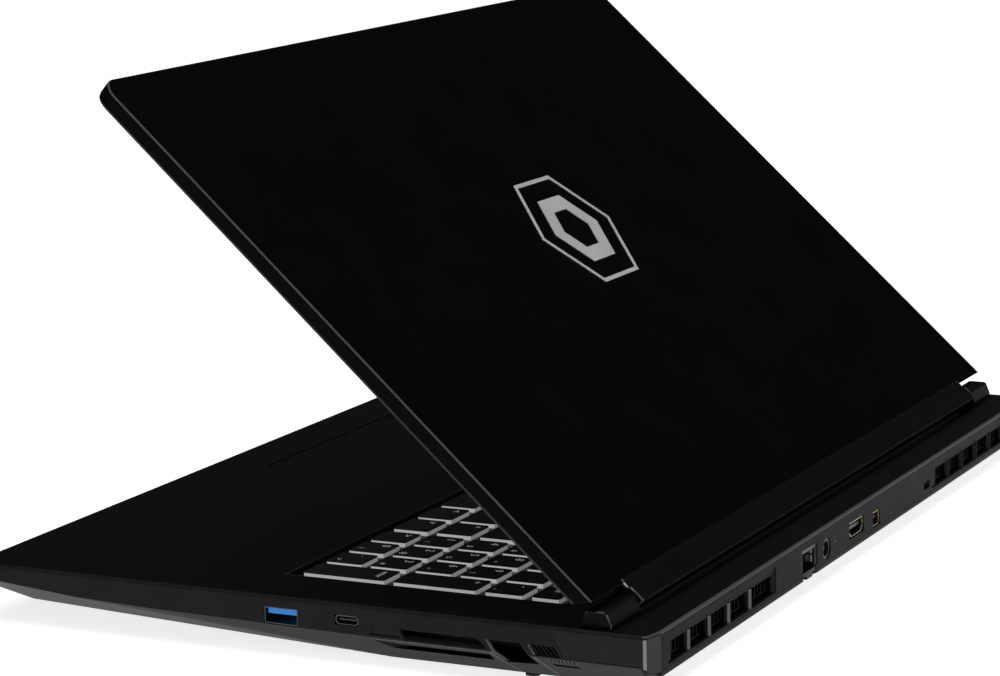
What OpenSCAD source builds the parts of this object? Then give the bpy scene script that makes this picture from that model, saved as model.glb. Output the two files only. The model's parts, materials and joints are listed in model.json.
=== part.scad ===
// Large gaming laptop with a numeric keypad, lid part open.
// Origin: centre of the base in plan, on the surface it stands on. +X is the user's right,
// +Y runs to the hinge side and +Z is up. All lengths are millimetres.

/* [Base] */
// Width of the base
base_w = 396; // [394:1:400]
// Depth of the base, front edge to rear edge
base_d = 268; // [266:1:272]
// Height of the deck above the surface it stands on
deck_z = 21.2; // [21.2:0.1:22]
// Height of the rubber feet
foot_h = 1.5; // [1.4:0.1:1.8]
// Wall thickness of the plastic casings
wall = 1.8; // [1.6:0.1:2]

/* [Lid] */
// Angle of the lid above its closed position
lid_open = 42.4; // [0:0.1:130]
// Width of the lid
lid_w = 394.2; // [393:0.1:395]
// Distance from the hinge axis to the lid's free edge
lid_reach = 247.6; // [246:0.1:248]
// Height of the lid's outer face above the hinge axis when closed
lid_top = 4.25; // [4.2:0.05:4.5]
// Depth of the bezel's face below the hinge axis when closed
lid_face = 1.65; // [1.5:0.05:1.7]
// Radius of the lid's free corners
lid_corner = 8; // [4:0.5:12]

/* [Hinge] */
// Distance from the base's rear edge to the hinge axis
hinge_inset = 19.7; // [19.5:0.1:20]
// Height of the hinge axis above the deck
hinge_rise = 2.45; // [2.4:0.05:2.5]
// Radius of the hinge shafts
shaft_r = 1.2; // [1:0.05:1.25]
// Radial clearance of the shafts in their barrels
shaft_gap = 0.05; // [0.02:0.01:0.08]

/* [Keyboard] */
// Key pitch across the main block
key_pitch = 18.81; // [18.6:0.01:18.9]
// Key pitch across the numeric keypad
pad_pitch = 16.2; // [16:0.05:16.3]
// Row pitch, front to back
row_pitch = 17.6; // [17.4:0.05:17.7]
// Gap between neighbouring keys
key_gap = 3.4; // [3.2:0.1:3.6]
// Front edge of the front row of keys
key_front = -11; // [-12:0.1:-10]
// Height of the key tops above the deck
key_rise = 0.3; // [0.2:0.05:0.4]
// Travel of a key
key_travel = 1.4; // [1:0.1:1.5]

/* [Cooling] */
// Radius of a fan rotor
rotor_r = 30; // [28:0.5:31]
// Blades on a fan rotor
blade_count = 29; // [17:2:33]
// Pitch of the radiator fins
fin_pitch = 3; // [2.5:0.1:4]
// Cells in the rear exhaust grille on the user's left
left_cells = 6; // [4:1:8]

/* [Hidden] */
$fn = 48;
tiny = 0.01;
big = 600;

// Places that several pieces share
seam_z = deck_z - 1.2;
skin = 1.5;
rear_y = base_d / 2;
side_x = base_w / 2;
hinge_y = rear_y - hinge_inset;
hinge_z = deck_z + hinge_rise;
floor_z = foot_h + wall;
// Rear corner of the base: [in from the side, in from the rear], a steep facet and then a shallow one
corner = [[0, 2.8], [0.6, 1.8], [8, 0]];
front_r = 7;
block_y = rear_y - 36;
block_lean = 5;
tower_in = 172.5;
tower_out = 194.5;
lip_half = 171.5;
trough_r = 6.3;

// Side walls: [distance along Y, height of the crease where the bevel under the base starts]
crease = [[rear_y, 10.4], [26, 10.7], [-57, 11.8], [-85, 12.6], [-rear_y, 16.6]];
// Flat part of the underside, right half: [x, y]
underside = [[188, rear_y - 9.7], [188.5, 35], [171, -rear_y + 12]];
// Lower edge of the upright rear face
rear_low = 5.9;
// Where the deck starts to slope down to the front edge, and its height at that edge
slope_y = -128.1;
slope_z = 18.4;
rear_half = 190;

// Keyboard
keys_half = 167.7;
row_d = row_pitch - key_gap;
pad_x = keys_half - 4 * pad_pitch + key_gap;
fn_row_y = key_front + 5 * row_pitch;
fn_row_d = 10.2;
fn_pitch = (2 * keys_half + key_gap) / 20;
key_top_z = deck_z + key_rise;
key_h = 2.6;
frame_top = deck_z - 1.5;
frame_t = 0.8;
window_x = keys_half + 4.2;
window_front = key_front - 4.2;
window_rear = fn_row_y + fn_row_d + 4.2;

// Board, cooling and sockets
board_z = 12.8;
board_t = 1.2;
fan_x = 137;
fan_y = 76;
fan_z = 4.2;
fan_h = 10.4;
fan_half_x = 42;
fan_half_y = 37;
spindle_r = 1.5;
spindle_gap = 0.05;
vent_in = 92.3;
vent_out = 182.3;
left_vent_in = 78;
// Cells of the right-hand exhaust grille, from x to x
right_cells = [[91.9, 111.6], [114.4, 130.5], [133.3, 147.4], [150.1, 164.9], [167.6, 181]];
cell_bar = 2.7;
recess = 0.6;
recess_top = 17.9;
ramp_w = 0.6;
vent_low = 8.7;
vent_high = 15.6;
usb_y = -2.7;
usb_z = 14.1;
usbc_y = 22.8;
usbc_z = 15.3;
lan_x = 57.5;
lan_z = 12.8;
dc_x = 40.4;
dc_z = 12.3;
hdmi_x = 9.3;
hdmi_z = 13;
mini_x = -11.9;
mini_z = 11.4;
lock_x = -69.5;
lock_z = 11.4;
light_x = 31.2;
light_z = 12.9;
audio_y = [25, 33.5];
audio_r = 1.8;
audio_out_r = 3;
left_usb_y = 8;
// Half sizes of the cut-outs for the two kinds of side socket: [along the wall, up]
usb_cut = [6.6, 3];
slim_cut = [4.6, 1.7];
// How far a side cut-out reaches into the base
cut_in = 9;

// Touchpad and power button
pad_c = [-26, -72];
pad_size = [110, 68];
button_c = [0, 100.5];

screw_at = [[-160, -98], [0, -116], [160, -98], [-184.5, 18], [184.5, 18],
    [-60, 121], [71, 121], [-184.6, 121], [184.6, 121]];

// ---------- helpers ----------
function arc(cx, cy, r, a0, a1, n) =
    [for (i = [0:n]) let(a = a0 + (a1 - a0) * i / n) [cx + r * cos(a), cy + r * sin(a)]];

// Box from its low corner to its high corner
module block(low, high) {
    translate(low) cube(high - low);
}

// Extrudes a (y, z) outline along X
module along_x(x0, x1) {
    translate([x0, 0, 0]) rotate([90, 0, 90]) linear_extrude(x1 - x0) children();
}

// Copies its children across the centre plane
module both_sides() {
    children();
    mirror([1, 0, 0]) children();
}

// Plate with rounded corners, centred on (0, 0)
module round_plate(w, d, h, r) {
    linear_extrude(h) {
        square([w - 2 * r, d], center = true);
        square([w, d - 2 * r], center = true);
        for (sx = [-1, 1], sy = [-1, 1])
            translate([sx * (w / 2 - r), sy * (d / 2 - r)]) circle(r, $fn = 32);
    }
}

// Half the width of a ribbon, square to it, at point i of its route
function mitre(points, i, half) = let(
    a = points[max(i, 1)] - points[max(i, 1) - 1],
    b = points[min(i + 1, len(points) - 1)] - points[min(i, len(points) - 2)],
    na = [-a.y, a.x] / norm(a),
    n = na + [-b.y, b.x] / norm(b))
    n * half / (n * na);

// Outline of a strip that follows a list of points
module ribbon(points, half) {
    last = len(points) - 1;
    polygon(concat([for (i = [0:last]) points[i] + mitre(points, i, half)],
        [for (i = [last:-1:0]) points[i] - mitre(points, i, half)]));
}

// Moves its children from the closed lid's own axes to the open lid: y runs from the axis
// towards the rear edge, so the lid lies along -y, and z is 0 at the hinge axis
module lid_place() {
    translate([0, hinge_y, hinge_z]) rotate([-lid_open, 0, 0]) children();
}

// ---------- base shell ----------
function plan_outline(inset) = let(x = side_x - inset, y = rear_y - inset, r = front_r - inset)
    concat([for (i = [2:-1:0]) [-x + corner[i][0], y - corner[i][1]]],
        arc(-x + r, -y + r, r, 180, 270, 6), arc(x - r, -y + r, r, 270, 360, 6),
        [for (i = [0:2]) [x - corner[i][0], y - corner[i][1]]]);

// Closed outer form of the base under the seam; inset gives the room inside its walls
module base_form(inset) {
    floor_h = foot_h + inset;
    intersection() {
        hull() {
            along_x(-side_x + inset, side_x - inset)
                polygon(concat([[rear_y - inset, seam_z + inset], [-rear_y + inset, seam_z + inset]],
                    [for (i = [len(crease) - 1:-1:0]) let(y = crease[i][0])
                        [min(max(y, -rear_y + inset), rear_y - inset), crease[i][1] + inset / 3]]));
            translate([0, 0, floor_h]) linear_extrude(tiny)
                polygon(concat([for (p = underside) [p.x - inset / 2, p.y - (p.y < 0 ? -inset : inset)]],
                    [for (i = [2:-1:0]) let(p = underside[i])
                        [-p.x + inset / 2, p.y - (p.y < 0 ? -inset : inset)]]));
            block([-rear_half + inset, rear_y - inset - tiny, rear_low + inset / 2],
                [rear_half - inset, rear_y - inset, seam_z]);
        }
        linear_extrude(seam_z) polygon(plan_outline(inset));
    }
}

// Region of the separate rear panel, cut along a leaning line on each side
module rear_region(gap) {
    panel_low = rear_low + 1.8 + gap;
    block_low = 10.9 + gap;
    panel_in = rear_y - 4;
    intersection() {
        along_x(-side_x - 1, side_x + 1)
            polygon([[rear_y + 1, seam_z + 1], [block_y + gap, seam_z + 1],
                [block_y + block_lean + gap, block_low], [panel_in, block_low], [panel_in, panel_low],
                [rear_y + 1, panel_low]]);
        union() {
            block([-side_x - 1, panel_in, 0], [side_x + 1, rear_y + 1, big]);
            both_sides() block([side_x - wall - 0.4, block_y - 1, 0], [side_x + 1, rear_y, big]);
        }
    }
}

// Vent openings of one side, between leaning ribs. Outlines are (y, z)
module side_vent() {
    x0 = side_x - 8;
    x1 = side_x + 1;
    wall_top = 14.5;
    // upper slot, with a shelf that slopes inwards above the crease
    along_x(x0, x1) polygon([[42.6, wall_top], [72.1, wall_top], [74, 12.4], [43.7, 12.4]]);
    intersection() {
        along_x(x0, x1) polygon([[43.7, 12.5], [74, 12.5], [75.8, 10.7], [44.5, 10.9]]);
        translate([0, 80, 0]) rotate([90, 0, 0]) linear_extrude(40)
            polygon([[x1, 10], [x1, 15], [x0, 15], [x0, 12.45], [side_x - wall, 12.2]]);
    }
    // opening between the two long ribs, round the crease
    along_x(x0, x1) polygon([[74.6, wall_top], [87.5, wall_top], [90.5, 10.5], [92.3, 6.8], [80.3, 6.2],
        [77.2, 10.5]]);
    // leaning cells behind the second rib, in a shallow recess
    along_x(side_x - 0.6, x1) polygon([[89.8, wall_top], [99.9, wall_top], [101.8, 10.8], [92.2, 10.8]]);
    for (i = [0:4]) translate([0, 1.7 * i, 0])
        along_x(x0, x1) polygon([[91.3, wall_top], [92.4, wall_top], [95.2, 10.9], [94.1, 10.9]]);
    // row of small cells on the crease, and the slot under it
    for (i = [0:6]) block([x0, 97.6 + 1.4 * i, 8.9], [x1, 98.4 + 1.4 * i, 9.9]);
    along_x(x0, x1) polygon([[97.4, 7.8], [107, 7.6], [107.8, 6.9], [98.4, 6.9]]);
    // lower slot in the bevel, with a ramp at its front end
    intersection() {
        along_x(x0 - 2, x1) polygon([[32.3, 9.4], [33.5, 6.4], [76, 6.4], [75.4, 8.8], [42.3, 8.7]]);
        linear_extrude(20)
            polygon([[x1, 26], [x1, 80], [x0 - 2, 80], [x0 - 2, 44], [x0 + 1.5, 43], [x0 + 6.5, 32]]);
    }
}

// Shallow groove in front of the right-hand upper slot
module vent_groove() {
    along_x(side_x - 0.6, side_x + 1)
        polygon([[31.3, 11.4], [32.6, 14.6], [33.2, 14.6], [32.3, 12.3], [42.7, 12.3], [43, 11.3]]);
}

// Everything above the slope along the front edge
module over_slope() {
    drop = (deck_z - slope_z) / (rear_y + slope_y);
    along_x(-side_x - 1, side_x + 1)
        polygon([[slope_y, deck_z], [-rear_y - 1, slope_z - drop], [-rear_y - 1, big], [slope_y, big]]);
}

module shell_screw_holes() {
    for (p = screw_at) translate([p.x, p.y, 0]) {
        cylinder(r = 1.25, h = 12);
        cylinder(r = 2.6, h = foot_h + 1.1);
    }
}

// Slots through the underside under one fan
module intake_slots() {
    slot_l = 26;
    for (i = [0:12], j = [0, 1])
        block([fan_x - 34 + 5.2 * i, fan_y - 28 + j * 29, 0],
            [fan_x - 31.2 + 5.2 * i, fan_y - 28 + slot_l + j * 29, floor_z + 1]);
}

// Cut-out for a socket in the side wall at x
module side_cut(x, y, z, half) {
    reach = x > 0 ? [x - cut_in, x + 1] : [x - 1, x + cut_in];
    block([reach[0], y - half[0], z - half[1]], [reach[1], y + half[0], z + half[1]]);
}

module bottom_cover() {
    // rib that carries the network socket
    color([0.16, 0.16, 0.17])
        block([lan_x - 6, rear_y - 11.2, floor_z - tiny], [lan_x + 6, rear_y - 9.4, lan_z - 3.9]);
    color([0.16, 0.16, 0.17]) difference() {
        base_form(0);
        base_form(wall);
        rear_region(-0.1);
        over_slope();
        both_sides() side_vent();
        vent_groove();
        shell_screw_holes();
        both_sides() intake_slots();
        both_sides() for (i = [0:4])
            block([126, -95 + 5.4 * i, 0], [150, -93.2 + 5.4 * i, floor_z + 1]);
        side_cut(side_x, usb_y, usb_z, usb_cut);
        side_cut(side_x, usbc_y, usbc_z, slim_cut);
        side_cut(-side_x, left_usb_y, usb_z, usb_cut);
        for (y = audio_y) translate([-side_x - 1, y, usb_z]) rotate([0, 90, 0])
            cylinder(r = audio_out_r + 0.1, h = cut_in + 1);
        block([lan_x - 6.6, rear_y - 9.4, 0], [lan_x + 6.6, rear_y + 1, 9]);
    }
}

// Shallow recess that a grille stands in, from its sloping inner end to its outer end
module grille_recess(x_in, x_out) {
    translate([0, 0, vent_low - 0.1]) linear_extrude(recess_top - vent_low + 0.1)
        polygon([[x_in, rear_y], [x_in + ramp_w, rear_y - recess], [x_out, rear_y - recess],
            [x_out, rear_y + 1], [x_in - ramp_w / recess, rear_y + 1]]);
}

// Ridge on a grille bar, from x to x
module grille_ridge(x_a, x_b) {
    translate([0, 0, vent_low - 0.1]) linear_extrude(vent_high - vent_low + 0.2)
        polygon([[x_a, rear_y - recess - 0.1], [x_b, rear_y - recess - 0.1], [x_a + 1.3, rear_y - 0.1],
            [x_a + 0.9, rear_y - 0.1]]);
}

module rear_panel() {
    cell_w = (vent_out - left_vent_in) / left_cells;
    color([0.26, 0.26, 0.27]) {
        for (i = [0:len(right_cells) - 2]) grille_ridge(right_cells[i][1], right_cells[i + 1][0]);
        for (i = [1:left_cells - 1])
            mirror([1, 0, 0]) grille_ridge(left_vent_in + i * cell_w, left_vent_in + i * cell_w + cell_bar);
    }
    color([0.26, 0.26, 0.27]) difference() {
        intersection() {
            difference() {
                base_form(0);
                base_form(wall);
            }
            rear_region(0.1);
        }
        for (c = right_cells) block([c[0], rear_y - 5, vent_low], [c[1], rear_y + 1, vent_high]);
        for (i = [1:left_cells])
            block([-left_vent_in - i * cell_w, rear_y - 5, vent_low],
                [-left_vent_in - (i - 1) * cell_w - cell_bar, rear_y + 1, vent_high]);
        grille_recess(vent_in - 2.3, vent_out + 2);
        mirror([1, 0, 0]) grille_recess(left_vent_in - 2.3, vent_out + 2);
        block([lan_x - 7.6, rear_y - 5, lan_z - 4], [lan_x + 7.6, rear_y + 1, lan_z + 4.2]);
        block([lan_x - 6.3, rear_y - 5, 0], [lan_x + 6.3, rear_y + 1, lan_z]);
        translate([dc_x, rear_y - 5, dc_z]) rotate([-90, 0, 0]) cylinder(r = 4.1, h = 6);
        block([hdmi_x - 7.9, rear_y - 5, hdmi_z - 3.1], [hdmi_x + 7.9, rear_y + 1, hdmi_z + 3.1]);
        block([mini_x - 4, rear_y - 5, mini_z - 3], [mini_x + 4, rear_y + 1, mini_z + 3]);
        block([lock_x - 3.5, rear_y - 5, lock_z - 1.5], [lock_x + 3.5, rear_y + 1, lock_z + 1.5]);
        translate([light_x, rear_y - 5, light_z]) rotate([-90, 0, 0]) cylinder(r = 0.75, h = 6);
    }
}

// ---------- deck ----------
module deck_outline_plate(inset, z0, z1) {
    translate([0, 0, z0]) linear_extrude(z1 - z0) polygon(plan_outline(inset));
}

module top_cover() {
    edge = 0.6;
    color([0.05, 0.05, 0.055]) difference() {
        union() {
            hull() {
                deck_outline_plate(edge, deck_z - tiny, deck_z);
                deck_outline_plate(0, seam_z + 0.1, deck_z - edge);
            }
            deck_outline_plate(wall + 0.3, deck_z - skin - 1.5, seam_z + 0.2);
            // trough skin under the hinge lip
            along_x(-tower_in - 1, tower_in + 1) translate([hinge_y, hinge_z]) circle(trough_r + 1, $fn = 64);
            for (p = screw_at) translate([p.x, p.y, 12.5]) cylinder(r = 2.6, h = deck_z - 13.5);
        }
        // room inside the deck
        difference() {
            block([-side_x + 4, -rear_y + 4, 0], [side_x - 4, rear_y - 4, deck_z - skin]);
            along_x(-tower_in - 1, tower_in + 1) translate([hinge_y, hinge_z]) circle(trough_r + 1, $fn = 64);
            for (p = screw_at) translate([p.x, p.y, 12.5]) cylinder(r = 2.6, h = 12);
        }
        along_x(-tower_in, tower_in) translate([hinge_y, hinge_z]) circle(trough_r, $fn = 64);
        block([-side_x - 1, hinge_y - 12, deck_z], [side_x + 1, hinge_y + 12, big]);
        block([-window_x, window_front, deck_z - 6], [window_x, window_rear, big]);
        block([pad_c.x - pad_size.x / 2 - 0.4, pad_c.y - pad_size.y / 2 - 0.4, 0],
            [pad_c.x + pad_size.x / 2 + 0.4, pad_c.y + pad_size.y / 2 + 0.4, big]);
        translate([button_c.x, button_c.y, 0]) round_plate(19, 6.6, big, 2);
        both_sides() block([176, hinge_y - 2.05, 10], [190, hinge_y + 2.05, big]);
        for (p = screw_at) translate([p.x, p.y, 0]) cylinder(r = 1.05, h = deck_z - 2.2);
        over_slope();
    }
}

// End face of a hinge housing, and the larger section behind its chamfered end
function tower_end() = concat([[-6.4, -hinge_rise], [-5.1, 1.9]], arc(-3.9, 1.65, 1.2, 150, 90, 5),
    arc(1.2, 1.25, 1.6, 80, 30, 5), [[4.1, -1.1], [3.8, -hinge_rise]]);
function tower_body() = concat([[-6.4, -hinge_rise], [-5.1, 2.2]], arc(-3.7, 2.4, 1.2, 150, 90, 5),
    arc(1.9, 1.9, 1.7, 80, 30, 5), [[4.9, -1.1], [4.6, -hinge_rise]]);

module hinge_covers() {
    chamfer = 0.9;
    color([0.07, 0.07, 0.075]) both_sides() difference() {
        union() {
            along_x(tower_in, tower_out - chamfer) translate([hinge_y, hinge_z]) polygon(tower_body());
            hull() {
                along_x(tower_out - chamfer - tiny, tower_out - chamfer)
                    translate([hinge_y, hinge_z]) polygon(tower_body());
                along_x(tower_out - tiny, tower_out) translate([hinge_y, hinge_z]) polygon(tower_end());
            }
        }
        along_x(tower_in - 1, tower_out - 1.2) translate([hinge_y, hinge_z]) {
            circle(2.06);
            translate([-2.06, -hinge_rise - 1]) square([4.12, hinge_rise + 1]);
        }
    }
}

module hinge_brackets() {
    barrel_r = 2;
    color([0.55, 0.56, 0.58]) both_sides() difference() {
        union() {
            along_x(177, 189) translate([hinge_y, hinge_z]) {
                circle(barrel_r);
                translate([-1, -7.4]) square([2, 7.4]);
            }
            block([176, hinge_y - 22, hinge_z - 7.6], [189, hinge_y + 3.5, hinge_z - 6.4]);
        }
        translate([170, hinge_y, hinge_z]) rotate([0, 90, 0]) cylinder(r = shaft_r + shaft_gap, h = 24);
        for (y = [hinge_y - 17, hinge_y - 8]) translate([182.5, y, 10]) cylinder(r = 1.3, h = 12);
    }
}

// ---------- keyboard ----------
// Each key is [x centre, y centre, width, depth]
function cap(x, y, w, d) = [x + w / 2, y + d / 2, w, d];
// Running sum of key units before item i
function before(units, i) = i == 0 ? 0 : units[i - 1] + before(units, i - 1);
function main_row(units, row, from = 0) =
    [for (i = [0:len(units) - 1])
        cap(-keys_half + (from + before(units, i)) * key_pitch, key_front + row * row_pitch,
            units[i] * key_pitch - key_gap, row_d)];
function pad_key(column, row, rows = 1) =
    cap(pad_x + column * pad_pitch, key_front + row * row_pitch, pad_pitch - key_gap,
        rows * row_pitch - key_gap);

function ones(n) = [for (i = [1:n]) 1];

function function_caps() = [for (i = [0:19])
    cap(-keys_half + i * fn_pitch, fn_row_y, fn_pitch - key_gap, fn_row_d)];
function number_caps() = main_row(concat(ones(13), [1.5]), 4);
function upper_caps() = main_row(concat([1.5], ones(13)), 3);
function home_caps() = main_row(concat([1.75], ones(11)), 2);
function lower_caps() = main_row(concat([2.25], ones(10), [1.25]), 1);
function bottom_caps() = concat(main_row([1.25, 1, 1, 1], 0), main_row([1, 1, 1.25], 0, 9.25));
function space_caps() = main_row([5], 0, 4.25);
function enter_caps() = main_row([1.75], 2, 12.75);
function arrow_caps() = concat(main_row([1], 1, 13.5), main_row([1, 1], 0, 12.5), [pad_key(0, 0)]);
function keypad_caps() = concat([for (r = [1:3], c = [0:2]) pad_key(c, r)],
    [for (c = [0:3]) pad_key(c, 4)], [pad_key(1, 0), pad_key(2, 0), pad_key(3, 2, 2)]);
function keypad_enter_caps() = [pad_key(3, 0, 2)];
function all_caps() = concat(function_caps(), number_caps(), upper_caps(), home_caps(),
    lower_caps(), bottom_caps(), space_caps(), enter_caps(), arrow_caps(), keypad_caps(),
    keypad_enter_caps());

module keys(caps) {
    color([0.1, 0.1, 0.1]) for (k = caps)
        translate([k[0] - k[2] / 2, k[1] - k[3] / 2, key_top_z - key_h]) cube([k[2], k[3], key_h]);
}

module key_frame() {
    gap = 0.35;
    color([0.06, 0.06, 0.065]) difference() {
        block([-window_x + 0.1, window_front + 0.1, frame_top - frame_t],
            [window_x - 0.1, window_rear - 0.1, frame_top]);
        for (k = all_caps())
            translate([k[0] - k[2] / 2 - gap, k[1] - k[3] / 2 - gap, 0])
                cube([k[2] + 2 * gap, k[3] + 2 * gap, 40]);
    }
}

module keyboard_plate() {
    plate_top = key_top_z - key_h - key_travel - 0.3;
    color([0.5, 0.51, 0.53])
        block([-window_x + 0.1, window_front + 0.1, plate_top - 0.6],
            [window_x - 0.1, window_rear - 0.1, plate_top]);
}

// ---------- electronics ----------
module mainboard() {
    color([0.03, 0.16, 0.1]) difference() {
        translate([0, 0, board_z]) linear_extrude(board_t)
            polygon([[-186, -44], [186, -44], [186, 36], [90, 36], [90, rear_y - 3], [-66, rear_y - 3],
                [-66, 36], [-181, 36], [-181, 1], [-186, 1]]);
        block([side_x - 16, usb_y - 7, 0], [side_x, usb_y + 7, 40]);
        block([side_x - 12, usbc_y - 5, 0], [side_x, usbc_y + 5, 40]);
        block([lan_x - 8.2, rear_y - 22, 0], [lan_x + 8.2, rear_y, 40]);
        block([dc_x - 5.4, rear_y - 16, 0], [dc_x + 5.4, rear_y, 40]);
        block([hdmi_x - 8.4, rear_y - 14, 0], [hdmi_x + 8.4, rear_y, 40]);
        block([mini_x - 4.6, rear_y - 11, 0], [mini_x + 4.6, rear_y, 40]);
        for (p = screw_at) translate([p.x, p.y, 0]) cylinder(r = 3.2, h = 40);
    }
}

module processors() {
    color([0.25, 0.27, 0.3]) {
        for (x = [-38, 36]) {
            block([x - 19, 44, board_z - 0.9], [x + 19, 76, board_z]);
            block([x - 9, 52, board_z - 1.5], [x + 9, 68, board_z - 0.9]);
        }
    }
}

module memory_modules() {
    color([0.04, 0.22, 0.13]) for (y = [-38, -6])
        block([-34, y, board_z - 4.2], [34, y + 29, board_z - 0.2]);
}

module ssd_module() {
    color([0.03, 0.12, 0.16]) {
        block([52, -40, board_z - 2.6], [132, -18, board_z - 1.8]);
        for (x = [58, 84, 108]) block([x, -38, board_z - 1.8], [x + 16, -20, board_z - 0.4]);
    }
}

module wifi_card() {
    color([0.05, 0.2, 0.15]) {
        block([-128, -30, board_z - 2.6], [-98, -8, board_z - 1.8]);
        block([-126, -28, board_z - 1.8], [-106, -10, board_z - 0.2]);
    }
}

module cold_plate() {
    color([0.72, 0.45, 0.3]) {
        block([-60, 40, board_z - 2.7], [58, 80, board_z - 1.5]);
    }
}

pipe_w = 7.6;
pipe_h = 2.6;
pipe_z = board_z - 5.3;
// Each pipe runs out over a processor, turns at pipe_turn and follows the radiator
pipe_y = [68, 52];
pipe_turn = [[80, 78], [88.5, 73]];
pipe_end_y = [126.3, 118.3];
module heat_pipes() {
    color([0.78, 0.48, 0.3]) for (i = [0, 1]) both_sides()
        translate([0, 0, pipe_z]) linear_extrude(pipe_h)
            ribbon([[4, pipe_y[i]], [66, pipe_y[i]], pipe_turn[i], [pipe_turn[i].x, pipe_end_y[i]],
                [178, pipe_end_y[i]]], pipe_w / 2);
}

module fin_stack(x_in) {
    fin_end = vent_out - 1.5;
    count = floor((fin_end - x_in) / fin_pitch);
    low = pipe_z + pipe_h;
    high = 15.7;
    sheet_t = 0.4;
    y0 = 114.6;
    y1 = rear_y - wall - 0.5;
    block([x_in, y0, high - sheet_t], [fin_end, y1, high]);
    block([x_in, y0, low], [fin_end, y1, low + sheet_t]);
    for (i = [0:count])
        block([x_in + i * fin_pitch, y0, low], [x_in + i * fin_pitch + sheet_t, y1, high]);
}

module fin_stacks() {
    color([0.72, 0.45, 0.3]) {
        fin_stack(vent_in);
        mirror([1, 0, 0]) fin_stack(left_vent_in);
    }
}

module fan_housing() {
    color([0.1, 0.1, 0.11]) difference() {
        translate([fan_x, fan_y, fan_z]) translate([-fan_half_x, -fan_half_y, 0])
            cube([2 * fan_half_x, 2 * fan_half_y, fan_h]);
        difference() {
            translate([fan_x, fan_y, fan_z + 0.9]) {
                cylinder(r = rotor_r + 2, h = fan_h - 1.8, $fn = 96);
                translate([-rotor_r - 2, 0, 0]) cube([2 * rotor_r + 4, fan_half_y + 1, fan_h - 1.8]);
            }
            translate([fan_x, fan_y, 0]) cylinder(r = spindle_r, h = fan_z + fan_h);
        }
        translate([fan_x, fan_y, fan_z - 1]) difference() {
            cylinder(r = 24, h = 3, $fn = 72);
            cylinder(r = 9, h = 3);
            for (a = [45:90:315]) rotate(a) translate([0, -1.5, 0]) cube([26, 3, 3]);
        }
    }
}

module fan_rotor() {
    hub_r = 12;
    z0 = fan_z + 1.7;
    h = fan_h - 3.4;
    color([0.13, 0.13, 0.14]) translate([fan_x, fan_y, z0]) difference() {
        union() {
            cylinder(r = hub_r, h = h);
            for (i = [0:blade_count - 1]) rotate(i * 360 / blade_count)
                translate([hub_r - 1, -0.4, 0.2]) rotate(18) cube([rotor_r - hub_r + 1.2, 0.8, h - 0.4]);
        }
        translate([0, 0, -1]) cylinder(r = spindle_r + spindle_gap, h = h + 2);
    }
}

module battery_pack() {
    color([0.07, 0.07, 0.08]) {
        for (x = [-112:56:56]) block([x, -111.5, 3.6], [x + 55.2, -53, 14.6]);
        block([-112, -53, 3.6], [112, -47, 11]);
    }
}

module speakers() {
    color([0.06, 0.06, 0.065]) both_sides() {
        block([122, -104, 4.4], [154, -62, 12.4]);
        translate([138, -83, 3.4]) cylinder(r = 11, h = 1);
    }
}

module intake_mesh() {
    color([0.12, 0.12, 0.12]) both_sides()
        block([fan_x - 36, fan_y - 30, floor_z], [fan_x + 36, fan_y + 30, floor_z + 0.4]);
}

// ---------- sockets ----------
// Places its children so that their y = 0 mouth lies on the outside of the base and y runs inwards
module on_right(y, z) {
    translate([side_x - 0.5, y, z]) rotate(90) children();
}
module on_left(y, z) {
    translate([-side_x + 0.5, y, z]) rotate(-90) children();
}
module on_rear(x, z) {
    translate([x, rear_y - 0.5, z]) rotate(180) children();
}

module sleeve(w, h, depth, t) {
    difference() {
        block([-w / 2, 0, -h / 2], [w / 2, depth, h / 2]);
        block([-w / 2 + t, -1, -h / 2 + t], [w / 2 - t, depth - 1, h / 2 - t]);
    }
}

module usb_a_shells() {
    color([0.7, 0.71, 0.73]) {
        on_right(usb_y, usb_z) sleeve(13.1, 5.8, 14, 0.35);
        on_left(left_usb_y, usb_z) sleeve(13.1, 5.8, 14, 0.35);
    }
}

module usb_a_tongues() {
    color([0.05, 0.35, 0.75]) {
        on_right(usb_y, usb_z) block([-5.6, 1.2, 0.4], [5.6, 13, 2.2]);
        on_left(left_usb_y, usb_z) block([-5.6, 1.2, 0.4], [5.6, 13, 2.2]);
    }
}

module slim_outline(w, h) {
    square([w - h, h], center = true);
    for (s = [-1, 1]) translate([s * (w - h) / 2, 0]) circle(h / 2, $fn = 32);
}

module usb_c_shell() {
    w = 8.9;
    h = 3.2;
    t = 0.3;
    color([0.7, 0.71, 0.73]) on_right(usbc_y, usbc_z) rotate([-90, 0, 0]) difference() {
        linear_extrude(9) slim_outline(w, h);
        translate([0, 0, -1]) linear_extrude(9) slim_outline(w - 2 * t, h - 2 * t);
    }
}

module usb_c_tongue() {
    color([0.06, 0.06, 0.06]) on_right(usbc_y, usbc_z) block([-3.3, 1, -0.35], [3.3, 8, 0.35]);
}

// Socket mouth with its lower corners cut off: half width, half height, size of the cut corners
module video_outline(w, h, cut, g) {
    polygon([[-w + g, h - g], [w - g, h - g], [w - g, -h + cut + g / 2], [w - cut - g / 2, -h + g],
        [-w + cut + g / 2, -h + g], [-w + g, -h + cut + g / 2]]);
}
module video_shell(w, h, cut, depth) {
    shell_t = 0.4;
    rotate([90, 0, 0]) mirror([0, 0, 1]) difference() {
        linear_extrude(depth) video_outline(w, h, cut, 0);
        translate([0, 0, -1]) linear_extrude(depth) video_outline(w, h, cut, shell_t);
    }
}

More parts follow.
